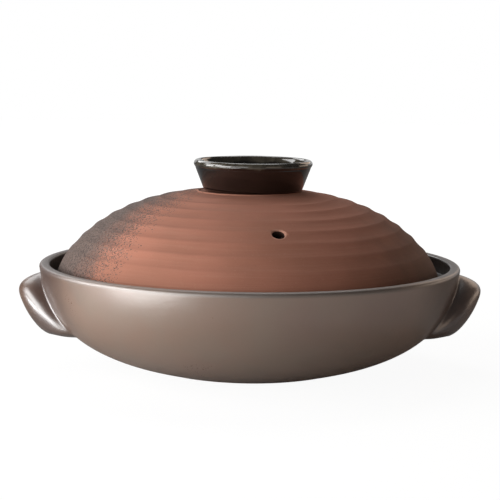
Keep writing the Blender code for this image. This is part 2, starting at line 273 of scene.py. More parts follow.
def pot_outside(count):
    """The pot's outer wall, from the rim's outer edge down to the foot."""
    rim_edge = (RIM_RADIUS, RIM_TOP - RIM_OUTER_ROUND)
    foot_edge = (FOOT_RADIUS + FOOT_EDGE_WIDTH, FOOT_EDGE_HEIGHT)
    shoulder = (rim_edge[0] - SHOULDER_PULL * math.sin(SHOULDER_ANGLE),
                rim_edge[1] - SHOULDER_PULL * math.cos(SHOULDER_ANGLE))
    belly = (foot_edge[0] + BELLY_PULL * math.cos(BELLY_ANGLE),
             foot_edge[1] + BELLY_PULL * math.sin(BELLY_ANGLE))
    return respaced(cubic(rim_edge, shoulder, belly, foot_edge, CURVE_SAMPLES), count)


def wall_radius(height):
    """The pot's outer radius at a height."""
    line = pot_outside(CURVE_SAMPLES)[::-1]
    return float(np.interp(height, line[:, 1], line[:, 0]))


def dome_height(radius):
    """The height of the lid's smooth outer dome at a radius."""
    share = min(radius / LID_RADIUS, 1.0)
    return LID_BOTTOM + DOME_RISE * (1.0 - share ** DOME_FULLNESS) ** (1.0 / DOME_CROWN)


def dome_line(count):
    """The dome's smooth outer line, from the knob's collar down to its edge."""
    collar = KNOB_FOOT_RADIUS + COLLAR_WIDTH
    start = math.asin((collar / LID_RADIUS) ** (DOME_FULLNESS / 2.0))
    turn = np.linspace(start, math.pi / 2.0, CURVE_SAMPLES)
    radii = LID_RADIUS * np.sin(turn) ** (2.0 / DOME_FULLNESS)
    heights = LID_BOTTOM + DOME_RISE * np.abs(np.cos(turn)) ** (2.0 / DOME_CROWN)
    return respaced(np.stack((radii, heights), axis=1), count)


# Meshes

def add_piece(name, verts, faces, look):
    mesh = bpy.data.meshes.new(name)
    mesh.from_pydata(verts, [], faces)
    mesh.shade_smooth()
    mesh.materials.append(look)
    made = bpy.data.objects.new(name, mesh)
    bpy.context.scene.collection.objects.link(made)
    return made


def turned(name, profile, look, steps=TURN_STEPS, shift=0.0, relief=None):
    """Spin a line that starts and ends on the Z axis into a closed piece.

    Relief gives how far the surface stands out of the line at a distance along it and a turn.
    """
    line = profile[1:-1]
    turn = 2.0 * math.pi * np.arange(steps) / steps
    push = np.zeros((len(line), steps))
    if relief:
        push = relief(run_along(profile)[1:-1, None], turn[None, :]) + push
    normals = outward_normals(profile)[1:-1]
    radius = line[:, :1] + normals[:, :1] * push
    height = line[:, 1:] + normals[:, 1:] * push
    spots = np.stack((radius * np.cos(turn) + shift, radius * np.sin(turn), height), axis=-1)
    poles = [(shift, 0.0, profile[0, 1]), (shift, 0.0, profile[-1, 1])]
    verts = spots.reshape(-1, 3).tolist() + poles
    first, last = len(verts) - 2, len(verts) - 1
    end = (len(line) - 1) * steps
    faces = []
    for j in range(steps):
        k = (j + 1) % steps
        faces.append((first, j, k))
        faces.append((last, end + k, end + j))
        faces += [(i + j, i + steps + j, i + steps + k, i + k) for i in range(0, end, steps)]
    return add_piece(name, verts, faces, look)


def shaped(piece):
    """Bake a piece's modifiers into its mesh."""
    graph = bpy.context.evaluated_depsgraph_get()
    mesh = bpy.data.meshes.new_from_object(piece.evaluated_get(graph))
    old = piece.data
    piece.modifiers.clear()
    piece.data = mesh
    mesh.shade_smooth()
    mesh.name = old.name
    bpy.data.meshes.remove(old)
    return piece


def carved(piece, cutter):
    """Cut one piece with another, which is then deleted."""
    knife = piece.modifiers.new("cut", "BOOLEAN")
    knife.operation = "DIFFERENCE"
    knife.solver = "EXACT"
    knife.object = cutter
    shaped(piece)
    bpy.data.objects.remove(cutter, do_unlink=True)
    return piece


# Pot

def pot_profile():
    """Inner floor, inner wall, gallery, rim, outer wall and foot, in that order."""
    gallery_height = POT_HEIGHT - GALLERY_DEPTH
    rim_inner_radius = RIM_RADIUS - RIM_THICKNESS
    gallery_radius = rim_inner_radius - GALLERY_WIDTH
    inside = grown(pot_outside(CURVE_SAMPLES), -POT_WALL)[::-1]
    inside = inside[inside[:, 1] > POT_FLOOR_HEIGHT + POT_FLOOR_ROUND / 2]
    inside = inside[inside[:, 0] < gallery_radius]
    floor_edge = (inside[0, 0] - 2 * POT_FLOOR_ROUND, POT_FLOOR_HEIGHT)
    floor = straight((0.0, POT_FLOOR_HEIGHT), floor_edge)
    floor_round = cubic(floor_edge, (floor_edge[0] + POT_FLOOR_ROUND, POT_FLOOR_HEIGHT),
                        inside[0] + (inside[0] - inside[SLOPE_SAMPLES]), inside[0],
                        ROUND_POINTS)
    ledge_edge = arc((gallery_radius + GALLERY_EDGE_ROUND, gallery_height - GALLERY_EDGE_ROUND),
                     GALLERY_EDGE_ROUND, 180, 90)
    ledge_corner = arc((rim_inner_radius - GALLERY_EDGE_ROUND,
                        gallery_height + GALLERY_EDGE_ROUND), GALLERY_EDGE_ROUND, -90, 0)
    rim_inner = arc((rim_inner_radius + RIM_INNER_ROUND, RIM_TOP - RIM_INNER_ROUND),
                    RIM_INNER_ROUND, 180, 90)
    rim_outer = arc((RIM_RADIUS - RIM_OUTER_ROUND, RIM_TOP - RIM_OUTER_ROUND),
                    RIM_OUTER_ROUND, 90, 0)
    foot_inner = FOOT_RADIUS - FOOT_RING_WIDTH
    foot = joined(cubic((FOOT_RADIUS + FOOT_EDGE_WIDTH, FOOT_EDGE_HEIGHT),
                        (FOOT_RADIUS + FOOT_EDGE_WIDTH / 2, FOOT_EDGE_HEIGHT / 2),
                        (FOOT_RADIUS + FOOT_EDGE_WIDTH / 4, 0.0), (FOOT_RADIUS, 0.0),
                        ROUND_POINTS),
                  (foot_inner, 0.0),
                  straight((foot_inner - FOOT_RECESS_DEPTH / 4, FOOT_RECESS_DEPTH / 4),
                           (foot_inner - FOOT_RECESS_DEPTH, FOOT_RECESS_DEPTH),
                           RECESS_POINTS),
                  straight((foot_inner - 2 * FOOT_RECESS_DEPTH, FOOT_RECESS_DEPTH),
                           (0.0, FOOT_RECESS_DEPTH)))
    return joined(floor, floor_round, respaced(inside, WALL_POINTS // 2), ledge_edge,
                  ledge_corner, rim_inner, rim_outer, pot_outside(WALL_POINTS), foot)


def build_pot(glaze, lining):
    def relief(run, turn):
        return -POT_UNEVEN * hollows(run, turn, POT_WAVES)

    pot = turned("pot_shell", pot_profile(), glaze, relief=relief)
    pot.data.materials.append(lining)
    lined_radius = RIM_RADIUS - RIM_THICKNESS + LINING_EDGE
    for face in pot.data.polygons:
        middle = face.center
        radius = math.hypot(middle.x, middle.y)
        outward_share = (face.normal.x * middle.x + face.normal.y * middle.y) / radius
        high = middle.z > POT_FLOOR_HEIGHT - LINING_EDGE
        if high and outward_share < LINING_TILT and radius < lined_radius:
            face.material_index = 1
    return pot


# Lugs

def lug_reach(height, drop):
    """How far the lug stands out of the wall: a sloping shoulder over a blunt heel."""
    below_top = min((LUG_TOP - height) / drop, 1.0)
    above_heel = min((height - LUG_BOTTOM) / LUG_HEEL_RISE, 1.0)
    shoulder = 1.0 - (1.0 - below_top) ** LUG_SHOULDER_FULLNESS
    heel = (1.0 - (1.0 - above_heel) ** 2) ** LUG_HEEL_FULLNESS
    return LUG_REACH * shoulder * heel


def lug_half_width(height):
    """Half the lug's width along the wall: an arched crown over a rounded lower edge."""
    if height > LUG_WIDEST:
        share = ((height - LUG_WIDEST) / (LUG_TOP - LUG_WIDEST)) ** LUG_CROWN_FULLNESS
    else:
        share = ((LUG_WIDEST - height) / (LUG_WIDEST - LUG_BOTTOM)) ** LUG_FOOT_FULLNESS
    return LUG_HALF_WIDTH * (1.0 - share) ** LUG_SIDE_FULLNESS


def lug_slice(height, side, lift, drop):
    """One level of the lug: half an ellipse outside the wall, closed inside it."""
    wall = wall_radius(height)
    half_width = lug_half_width(height)
    root = math.sqrt(wall ** 2 - half_width ** 2)
    depth = wall + lug_reach(height, drop) - root
    turns = np.linspace(0.0, math.pi, LUG_SIDE_STEPS + 1)
    x = np.concatenate(([root - LUG_ROOT_DEPTH], root + depth * np.sin(turns),
                        [root - LUG_ROOT_DEPTH]))
    y = np.concatenate(([half_width], half_width * np.cos(turns), [-half_width]))
    return [(side * a, side * b, height + lift) for a, b in zip(x, y)]


def closed_grid(rings):
    """Faces that join rings of equal count, with a cap at each end."""
    count = len(rings[0])
    verts = [point for ring in rings for point in ring]
    faces = [tuple(range(count))[::-1]]
    faces.append(tuple(range(len(verts) - count, len(verts))))
    for start in range(0, len(verts) - count, count):
        for i in range(count):
            j = (i + 1) % count
            faces.append((start + i, start + j, start + count + j, start + count + i))
    return verts, faces


def outward(piece):
    """Make a closed piece's faces look outwards."""
    shape = bmesh.new()
    shape.from_mesh(piece.data)
    bmesh.ops.recalc_face_normals(shape, faces=shape.faces)
    shape.to_mesh(piece.data)
    shape.free()
    return piece


def build_hollow(side, lift, glaze):
    """An ellipsoid under the lug that lies along the wall, open downwards."""
    low, high = LUG_BOTTOM, LUG_BOTTOM + HOLLOW_DEPTH
    lean = math.atan2(wall_radius(high) - wall_radius(low), HOLLOW_DEPTH)
    shape = bmesh.new()
    bmesh.ops.create_icosphere(shape, subdivisions=HOLLOW_SUBDIVISIONS, radius=1.0)
    size = Matrix.Diagonal((HOLLOW_THICKNESS / 2, HOLLOW_WIDTH / 2, HOLLOW_DEPTH, 1.0))
    tilt = Matrix.Rotation(lean, 4, "Y")
    middle = Vector((wall_radius(low) + HOLLOW_THICKNESS / 2 * math.cos(lean), 0.0,
                     low + lift - HOLLOW_THICKNESS / 2 * math.sin(lean)))
    face = Matrix.Rotation(0.0 if side > 0 else math.pi, 4, "Z")
    bmesh.ops.transform(shape, matrix=face @ Matrix.Translation(middle) @ tilt @ size,
                        verts=shape.verts)
    hollow = add_piece("hollow", [], [], glaze)
    shape.to_mesh(hollow.data)
    shape.free()
    return hollow


def wall_patch(side, lift):
    """A slab just under the pot's wall, so that the lug's edge softens into the wall."""
    heights = np.linspace(LUG_BOTTOM - WALL_PATCH_MARGIN, POT_HEIGHT - RIM_OUTER_ROUND,
                          PATCH_STEPS)
    spread = (LUG_HALF_WIDTH + WALL_PATCH_MARGIN) / RIM_RADIUS
    turns = np.linspace(-1.0, 1.0, PATCH_STEPS)
    rings = []
    for height in heights:
        front = wall_radius(height) - WALL_PATCH_DEPTH
        reach = spread * RIM_RADIUS / front
        ring = [(front, turn * reach) for turn in turns]
        ring += [(front - LUG_ROOT_DEPTH, turn * reach) for turn in turns[::-1]]
        rings.append([(side * radius * math.cos(turn), side * radius * math.sin(turn), height)
                      for radius, turn in ring])
    return closed_grid(rings)


def build_lug(name, side, lift, drop, glaze):
    heights = LUG_BOTTOM + (0.5 - 0.5 * np.cos(math.pi * np.arange(1, LUG_LEVELS)
                                               / LUG_LEVELS)) * (LUG_TOP - LUG_BOTTOM)
    verts, faces = closed_grid([lug_slice(height, side, lift, drop) for height in heights])
    lug = outward(add_piece(name, verts, faces, glaze))
    carved(lug, build_hollow(side, lift, glaze))
    patch = outward(add_piece("patch", *wall_patch(side, lift), glaze))
    shape = bmesh.new()
    shape.from_mesh(lug.data)
    shape.from_mesh(patch.data)
    shape.to_mesh(lug.data)
    shape.free()
    bpy.data.objects.remove(patch, do_unlink=True)
    skin = lug.modifiers.new("skin", "REMESH")
    skin.mode = "VOXEL"
    skin.voxel_size = LUG_VOXEL
    soft = lug.modifiers.new("soft", "SMOOTH")
    soft.factor = LUG_SOFTNESS
    soft.iterations = LUG_SMOOTHING
    shaped(lug)
    line = grown(pot_outside(WALL_POINTS), -LUG_OVERLAP)
    top = POT_HEIGHT + LUG_REACH
    wall = turned("wall", joined((0.0, top), (line[0, 0], top), line,
                                 (0.0, line[-1, 1])), glaze)
    return carved(lug, wall)


# Lid

def ridge_section(length):
    """Heights of the ridges along the dome: hollows between rounded crests."""
    ridge = np.arange(RIDGE_COUNT)
    bow = RIDGE_BOW * np.sin(math.pi * ridge / (RIDGE_COUNT - 1))
    crests = RIDGE_START + RIDGE_PITCH * ridge + bow
    marks = np.concatenate(([0.0], crests, [length]))
    run = np.linspace(-RIDGE_PITCH, length + RIDGE_PITCH, RIDGE_SAMPLES)
    place = np.clip(np.searchsorted(marks, run) - 1, 0, len(marks) - 2)
    phase = (run - marks[place]) / (marks[place + 1] - marks[place])
    hollow = 1.0 - (2.0 * phase - 1.0) ** 2
    line = 0.5 - hollow
    line = np.where(place == 0, phase - 0.5, line)
    line = np.where(place == len(marks) - 2, 0.5 - phase, line)
    line = np.where((run < 0.0) | (run > length), 0.0, line)
    share = np.interp(run, [crests[0], crests[1], crests[-2], crests[-1]],
                      [RIDGE_FIRST, 1.0, 1.0, RIDGE_LAST])
    spread = np.arange(-BLUR_STEPS, BLUR_STEPS + 1) * (run[1] - run[0]) / RIDGE_ROUND
    blur = np.exp(-0.5 * spread ** 2)
    return run, np.convolve(RIDGE_DEPTH * share * line, blur / blur.sum(), mode="same")


def lid_profile():
    """Crown, ridged dome, edge, seat and the inside of the dome, in that order.

    The second result is how far along the line the ridged dome starts.
    """
    crown = dome_height(KNOB_FOOT_RADIUS + COLLAR_WIDTH)
    dome = dome_line(RIDGE_POINTS)
    bead_middle = KNOB_FOOT_RADIUS + COLLAR_BEAD_REACH
    land = joined(straight((0.0, crown), (KNOB_FOOT_RADIUS, crown)),
                  arc((bead_middle, crown), (COLLAR_BEAD, COLLAR_RISE), 180, 0),
                  (bead_middle + COLLAR_BEAD_REACH, crown - COLLAR_RISE / 4))
    edge = arc((LID_RADIUS - LID_EDGE_ROUND, LID_BOTTOM + LID_EDGE_ROUND),
               LID_EDGE_ROUND, 0, -90)
    dome = dome[dome[:, 1] > LID_BOTTOM + LID_EDGE_ROUND]
    seat_inner = LID_RADIUS - LID_SEAT_WIDTH - LID_EDGE_ROUND
    seat = straight((LID_RADIUS - 2 * LID_EDGE_ROUND, LID_BOTTOM), (seat_inner, LID_BOTTOM),
                    SEAT_POINTS)
    inside = grown(dome_line(CURVE_SAMPLES), -LID_WALL)[::-1]
    inside = inside[inside[:, 0] < seat_inner - LID_EDGE_ROUND]
    inside = inside[inside[:, 1] > LID_BOTTOM + LID_EDGE_ROUND]
    start = run_along(land)[-1] + np.linalg.norm(land[-1] - dome[0])
    ceiling = straight((inside[-1, 0], crown - LID_WALL), (0.0, crown - LID_WALL))
    return joined(land, dome, edge, seat, respaced(inside, WALL_POINTS // 2), ceiling), start


def vent_slope():
    """How steeply the smooth dome falls at the vent."""
    radius = VENT_DIAMETER / 2
    return math.atan2(dome_height(VENT_RADIUS - radius) - dome_height(VENT_RADIUS + radius),
                      VENT_DIAMETER)


def vent_frame():
    """The place of the vent on the dome, with its Z axis along the drill."""
    place = Vector((VENT_RADIUS * math.cos(VENT_AZIMUTH) + LID_SHIFT,
                    VENT_RADIUS * math.sin(VENT_AZIMUTH), dome_height(VENT_RADIUS)))
    return (Matrix.Translation(place) @ Matrix.Rotation(VENT_AZIMUTH, 4, "Z")
            @ Matrix.Rotation(vent_slope(), 4, "Y"))


def build_lid(clay):
    profile, start = lid_profile()
    length = run_along(dome_line(CURVE_SAMPLES))[-1]
    run_marks, heights = ridge_section(length)

    def relief(run, turn):
        away = run - start
        wander = RIDGE_WANDER * waves(away, turn, WANDER_WAVES)
        share = 1.0 + RIDGE_VARIETY * waves(away, turn, VARIETY_WAVES)
        ridges = share * np.interp(away + wander, run_marks, heights)
        return np.where((away > 0.0) & (away < length), ridges, 0.0)

    lid = turned("lid_shell", profile, clay, shift=LID_SHIFT, relief=relief)
    radius = VENT_DIAMETER / 2
    bevel = VENT_BEVEL_ROUND
    cut = joined((0.0, LID_WALL), (radius + VENT_BEVEL + LID_WALL, LID_WALL),
                 arc((radius + bevel, -bevel), bevel, 135, 180),
                 (radius, -2 * LID_WALL), (0.0, -2 * LID_WALL))
    drill = turned("drill", cut, clay, steps=VENT_STEPS)
    drill.data.transform(vent_frame())
    return carved(lid, drill)


# Knob

def knob_profile():
    """Inside of the cup, lip, flared outside and foot, in that order."""
    floor = KNOB_TOP - KNOB_CUP_DEPTH
    flare = ((KNOB_LIP_RADIUS - KNOB_FOOT_RADIUS)
             / (KNOB_TOP - KNOB_FOOT_HEIGHT - KNOB_LIP_HEIGHT / 2))
    cup_radius = KNOB_FOOT_RADIUS + flare * (floor - KNOB_FOOT_HEIGHT) - KNOB_WALL
    cup_corner = arc((cup_radius - KNOB_CUP_ROUND, floor + KNOB_CUP_ROUND), KNOB_CUP_ROUND,
                     *KNOB_CUP_TURN)
    lip_middle = (KNOB_LIP_RADIUS - KNOB_LIP_THICKNESS / 2, KNOB_TOP - KNOB_LIP_HEIGHT / 2)
    lip = arc(lip_middle, (KNOB_LIP_THICKNESS / 2, KNOB_LIP_HEIGHT / 2), *KNOB_LIP_TURN,
              3 * ROUND_POINTS)
    neck_height = KNOB_TOP - KNOB_NECK_DROP
    neck = (KNOB_FOOT_RADIUS + flare * (neck_height - KNOB_FOOT_HEIGHT), neck_height)
    under_lip = cubic(lip[-1], lip[-1] + (-KNOB_NECK_HOLLOW, -KNOB_NECK_HOLLOW),
                      (neck[0] + flare * KNOB_NECK_HOLLOW, neck[1] + KNOB_NECK_HOLLOW), neck,
                      ROUND_POINTS)
    foot_edge = (KNOB_FOOT_RADIUS + flare * KNOB_FOOT_ROUND, KNOB_FOOT_HEIGHT + KNOB_FOOT_ROUND)
    foot = arc((KNOB_FOOT_RADIUS - KNOB_FOOT_ROUND, KNOB_FOOT_HEIGHT + KNOB_FOOT_ROUND),
               KNOB_FOOT_ROUND, 0, -90)
    return joined(straight((0.0, floor), (cup_radius - KNOB_CUP_ROUND, floor)), cup_corner,
                  straight(cup_corner[-1], lip[0])[1:], lip, under_lip,
                  straight(neck, foot_edge, 2 * ROUND_POINTS)[1:], foot,
                  straight(foot[-1], (0.0, KNOB_FOOT_HEIGHT), KNOB_FOOT_POINTS)[1:])


def build_knob(glaze):
    def relief(run, turn):
        return -KNOB_UNEVEN * hollows(run, turn, KNOB_WAVES)

    return turned("knob_cup", knob_profile(), glaze, steps=KNOB_STEPS, shift=KNOB_SHIFT,
                  relief=relief)


# Materials

# Colours
GLAZE_BROWN = (0.243, 0.146, 0.099)
GLAZE_GREY = (0.230, 0.154, 0.108)
GLAZE_RED = (0.230, 0.106, 0.074)
GLAZE_PALE = (0.30, 0.20, 0.15)
# Painted shade for the pot's sides beside the lugs
GLAZE_SIDE_SHADE = (0.060, 0.026, 0.017)
# The rim's dry edge: partly thin glaze, partly painted shade that dulls its highlight
GLAZE_EDGE_SHADE = (0.100, 0.066, 0.048)
RAW_CLAY = (0.42, 0.27, 0.19)
# Painted shade: the lining's browns are darkened for the gap under the lid
INSIDE_SHADE_BROWN = (0.050, 0.034, 0.027)
INSIDE_SHADE_DARK = (0.030, 0.021, 0.018)
CLAY_RED = (0.455, 0.188, 0.124)
CLAY_BROWN = (0.385, 0.164, 0.106)
CLAY_PALE = (0.520, 0.270, 0.195)
CLAY_DARK = (0.200, 0.085, 0.058)
# Painted shade down the vent's bore
VENT_BORE_SHADE = (0.040, 0.017, 0.011)
# Painted shade: olive darkening on the lid's right side
RIGHT_SHADE_OLIVE = (0.088, 0.064, 0.044)
SPRAY_GREY = (0.142, 0.108, 0.093)
SPRAY_DARK = (0.045, 0.035, 0.030)
KNOB_BLACK = (0.004, 0.0025, 0.0022)
KNOB_BROWN = (0.009, 0.0050, 0.0040)
KNOB_OLIVE = (0.070, 0.060, 0.044)

# Noises: how many swings in a metre, then their detail and roughness
GLAZE_CLOUD = (24.0, 4.0)
GLAZE_GRAIN = (1100.0, 2.0)
GLAZE_PATCHES = (11.0, 2.0)
GLAZE_PEEL = (300.0, 2.0)
FOOT_WOBBLE = (160.0, 3.0)
LINING_CLOUD = (30.0, 4.0)
LINING_MOTTLE = (180.0, 3.0)
CLAY_LINES = (60.0, 5.0, 0.65)
CLAY_CLOUD = (16.0, 4.0)
CLAY_GRAIN = (1500.0, 3.0, 0.7)
CLAY_GROG = (700.0, 1.0, 0.4)
SPRAY_DRIFT = (45.0, 4.0)
SPRAY_SPECKS = (850.0, 2.0)
RIGHT_SHADE_DRIFT = (38.0, 4.0)
KNOB_CLOUD = (90.0, 3.0)
KNOB_RUNS = (70.0, 2.0)
KNOB_STREAKS = (240.0, 3.0)
KNOB_MOTTLE = (200.0, 3.0)
KNOB_RIPPLE = (60.0, 2.0)
LINES_STRETCH = (0.35, 0.35, 14.0)
STREAKS_STRETCH = (1.0, 1.0, 0.3)
# Nearly all of a noise lies between these
NOISE_SPAN = (0.3, 0.7)
DRIFT_SPAN = (0.25, 0.75)

# Ramps that carry a noise to a share of a colour: from, to, and the shares there where they
# aren't 0 and 1
GLAZE_CLOUD_RAMP = (0.35, 0.65)
GLAZE_PATCHES_RAMP = (0.52, 0.72, 0.0, 0.45)
GLAZE_GRAIN_RAMP = (0.50, 0.75, 0.0, 0.12)
CLAY_CLOUD_RAMP = (0.35, 0.68)
CLAY_LINES_RAMP = (0.45, 0.75, 0.0, 0.22)
CLAY_GRAIN_RAMP = (0.58, 0.75, 0.0, 0.30)
CLAY_GROG_RAMP = (0.66, 0.74, 0.0, 0.15)
SPRAY_SPECKS_RAMP = (0.42, 0.62)
KNOB_CLOUD_RAMP = (0.40, 0.70)
KNOB_STREAKS_RAMP = (0.35, 0.70, 0.45, 1.0)

# Bumps: the depth, then the strength
PEEL_BUMP = (0.00006, 1.0)
CLAY_GRAIN_BUMP = (0.00012, 0.6)
CLAY_LINES_BUMP = (0.00018, 0.5)
SPRAY_BUMP = (0.00006, 0.5)
RIPPLE_BUMP = (0.00004, 1.0)

# Roughness
GLAZE_ROUGH = (0.29, 0.34)
GRAIN_ROUGH = (-0.02, 0.02)
EDGE_DRYNESS = 0.22
FOOT_ROUGH = 0.9
LINING_ROUGH = (0.34, 0.46)
CLAY_ROUGH = 0.88
SPRAY_ROUGH = 0.74
KNOB_ROUGH = (0.07, 0.13)

# Gloss
GLAZE_IOR = 2.5
CLAY_SPECULAR = 0.35
KNOB_SPECULAR = 0.6
KNOB_COAT = 0.8
KNOB_COAT_ROUGH = 0.05

# Where the glaze changes, as ramps along X and Z: the dry upper edge of the rim, darkened
# with painted shade, is strongest a little right of the middle; painted shade in a deep
# red-brown lies on the pot's sides beside the lugs and is weaker on them; and the clay is bare
# at the foot
EDGE_RISE = (RIM_TOP - 0.0034, RIM_TOP - 0.0016)
EDGE_START = (-0.06, 0.0, 0.4, 1.0)
EDGE_END = (0.07, 0.11, 1.0, 0.2)
SIDE_SHADE_START = (0.088, 0.118, 0.0, 0.9)
SIDE_SHADE_END = (0.126, 0.132, 1.0, 0.6)
SIDE_SHADE_WOBBLE = 0.004
FOOT_LINE = 0.0012
FOOT_LINE_WOBBLE = 0.0004

# Where the clay changes. The spray lies behind a slanted plane, and its fades are in spreads
SPRAY_FACING = Vector((0.874, -0.330, -0.450))
SPRAY_EDGE = -0.0798
SPRAY_SPREAD = 0.013
SPRAY_WOBBLE = 0.006
DROPS_FADE = (1.35, -1.0)
SOLID_FADE = (0.3, -1.6, 0.0, 0.90)
COARSE_SHARE = 0.40
# Droplets: the width of a cell, and the drop's radius in cells
FINE_DROPS = (0.0006, 0.60)
COARSE_DROPS = (0.0011, 0.50)
# Painted shade on the lid's right side, as a ramp along X
RIGHT_SHADE_ACROSS = (0.045, 0.112, 0.0, 0.75)
RIGHT_SHADE_WOBBLE = 0.010
# The vent's bevel is clear of spray and paler as a painted highlight
RING_EDGE = (VENT_DIAMETER / 2 + 1.6 * VENT_BEVEL, VENT_DIAMETER / 2 + 1.1 * VENT_BEVEL)
RING_HIGHLIGHT_SHARE = 0.8
# Painted shade down the vent's bore
BORE_SHADE_EDGE = (VENT_DIAMETER / 2 + 0.15 * VENT_BEVEL, VENT_DIAMETER / 2)

# Where the knob's glaze runs thin below its top
OLIVE_DROP = 0.0042
OLIVE_WOBBLE = 0.001
# A soft edge ends at this share of its size
LINE_SOFTNESS = 0.6
DROP_SOFTNESS = 0.7


class Look:
    """A Principled material and short ways to build its nodes."""

    def __init__(self, name, **constants):
        self.material = bpy.data.materials.new(name)
        self.material.use_nodes = True
        self.tree = self.material.node_tree
        self.shader = self.tree.nodes["Principled BSDF"]
        for key, value in constants.items():
            self.shader.inputs[key.replace("_", " ")].default_value = value
        self.place = self.tree.nodes.new("ShaderNodeTexCoord").outputs["Object"]

    def node(self, kind, inputs, **settings):
        made = self.tree.nodes.new(kind)
        for key, value in settings.items():
            setattr(made, key, value)
        for key, value in inputs.items():
            if isinstance(value, bpy.types.NodeSocket):
                self.tree.links.new(value, made.inputs[key])
            else:
                made.inputs[key].default_value = value
        return made

    def math(self, operation, *values):
        inputs = dict(enumerate(values))
        return self.node("ShaderNodeMath", inputs, operation=operation).outputs[0]

    def plus(self, first, second):
        return self.math("ADD", first, second)

    def times(self, first, second):
        return self.math("MULTIPLY", first, second)

    def along(self, axis):
        """A coordinate of a point on a piece at rest. Z is its height above the table."""
        return self.node("ShaderNodeSeparateXYZ", {0: self.place}).outputs[axis]

    def ramp(self, value, low, high, to_low=0.0, to_high=1.0, smooth=True):
        """Carry a value from one range to another, held at both ends."""
        inputs = {"Value": value, "From Min": low, "From Max": high,
                  "To Min": to_low, "To Max": to_high}
        kind = "SMOOTHSTEP" if smooth else "LINEAR"
        return self.node("ShaderNodeMapRange", inputs, interpolation_type=kind).outputs[0]

    def spread(self, noise, low, high):
        """Carry a noise to the range between two values."""
        return self.ramp(noise, *NOISE_SPAN, low, high)

    def wobble(self, noise, reach):
        """Carry a noise to a shift of up to a reach either way."""
        return self.spread(noise, -reach, reach)

    def drift(self, noise, reach):
        """The same shift, along a straight ramp."""
        return self.ramp(noise, *DRIFT_SPAN, -reach, reach, smooth=False)

    def scaled(self, scale):
        return self.node("ShaderNodeMapping", {"Vector": self.place, "Scale": scale}).outputs[0]

    def noise(self, scale, detail, rough=0.55, where=None):
        inputs = {"Vector": where or self.place, "Scale": scale, "Detail": detail,
                  "Roughness": rough}
        return self.node("ShaderNodeTexNoise", inputs).outputs["Fac"]

    def mix(self, share, first, second):
        made = self.node("ShaderNodeMix", {0: share}, data_type="RGBA")
        for socket, value in ((made.inputs[6], first), (made.inputs[7], second)):
            if isinstance(value, bpy.types.NodeSocket):
                self.tree.links.new(value, socket)
            else:
                socket.default_value = (*value, 1.0)
        return made.outputs[2]

    def bump(self, height, distance, strength, onto=None):
        inputs = {"Height": height, "Distance": distance, "Strength": strength}
        if onto is not None:
            inputs["Normal"] = onto
        return self.node("ShaderNodeBump", inputs).outputs[0]

    def connect(self, **sockets):
        for key, value in sockets.items():
            self.tree.links.new(value, self.shader.inputs[key.replace("_", " ")])


def pot_glaze():
    """Satin bronze glaze: brown, with a metallic sheen, thin and red in places.

    Its sides and the rim's dry edge are darkened with painted shade.
    """
    look = Look("pot_glaze", IOR=GLAZE_IOR)
    cloud = look.noise(*GLAZE_CLOUD)
    grain = look.noise(*GLAZE_GRAIN)
    patches = look.noise(*GLAZE_PATCHES)
    across, height = look.along("X"), look.along("Z")

    middle = look.times(look.ramp(across, *EDGE_START), look.ramp(across, *EDGE_END))
    dry_shaded_edge = look.times(look.ramp(height, *EDGE_RISE), middle)
    beside = look.plus(look.math("ABSOLUTE", across), look.wobble(cloud, SIDE_SHADE_WOBBLE))
    side_shade = look.times(look.ramp(beside, *SIDE_SHADE_START), look.ramp(beside, *SIDE_SHADE_END))
    foot_height = look.plus(height, look.wobble(look.noise(*FOOT_WOBBLE), FOOT_LINE_WOBBLE))
    bare = look.ramp(foot_height, FOOT_LINE, FOOT_LINE * LINE_SOFTNESS)

    colour = look.mix(look.ramp(cloud, *GLAZE_CLOUD_RAMP), GLAZE_BROWN, GLAZE_GREY)
    colour = look.mix(look.ramp(patches, *GLAZE_PATCHES_RAMP), colour, GLAZE_RED)
    colour = look.mix(look.ramp(grain, *GLAZE_GRAIN_RAMP), colour, GLAZE_PALE)
    # Painted shade on the rim's dry edge, strongest a little right of the middle
    colour = look.mix(dry_shaded_edge, colour, GLAZE_EDGE_SHADE)
    # Painted shade on the pot's sides
    colour = look.mix(side_shade, colour, GLAZE_SIDE_SHADE)
    colour = look.mix(bare, colour, RAW_CLAY)

    rough = look.plus(look.spread(cloud, *GLAZE_ROUGH), look.spread(grain, *GRAIN_ROUGH))
    rough = look.plus(rough, look.times(dry_shaded_edge, EDGE_DRYNESS))
    rough = look.math("MAXIMUM", rough, look.times(bare, FOOT_ROUGH))
    look.connect(Base_Color=colour, Roughness=rough,
                 Normal=look.bump(look.noise(*GLAZE_PEEL), *PEEL_BUMP))
    return look.material


def shaded_inside_glaze():
    """Thin dark brown glaze on the gallery and the inside of the pot, darkened as painted shade.
    """
    look = Look("shaded_inside_glaze")
    cloud = look.noise(*LINING_CLOUD)
    colour = look.mix(look.ramp(cloud, *GLAZE_CLOUD_RAMP), INSIDE_SHADE_BROWN, INSIDE_SHADE_DARK)
    look.connect(Base_Color=colour,
                 Roughness=look.spread(look.noise(*LINING_MOTTLE), *LINING_ROUGH),
                 Normal=look.bump(look.noise(*GLAZE_PEEL), *PEEL_BUMP))
    return look.material


def droplets(look, kind, cover):
    """Round spots in random cells, more of them where the cover is higher."""
    cell, size = kind
    spots = look.node("ShaderNodeTexVoronoi", {"Vector": look.place, "Scale": 1.0 / cell})
    chance = look.node("ShaderNodeSeparateColor", {0: spots.outputs["Color"]}).outputs[0]
    drawn = look.math("LESS_THAN", chance, cover)
    return look.times(drawn, look.ramp(spots.outputs["Distance"], size, size * DROP_SOFTNESS))


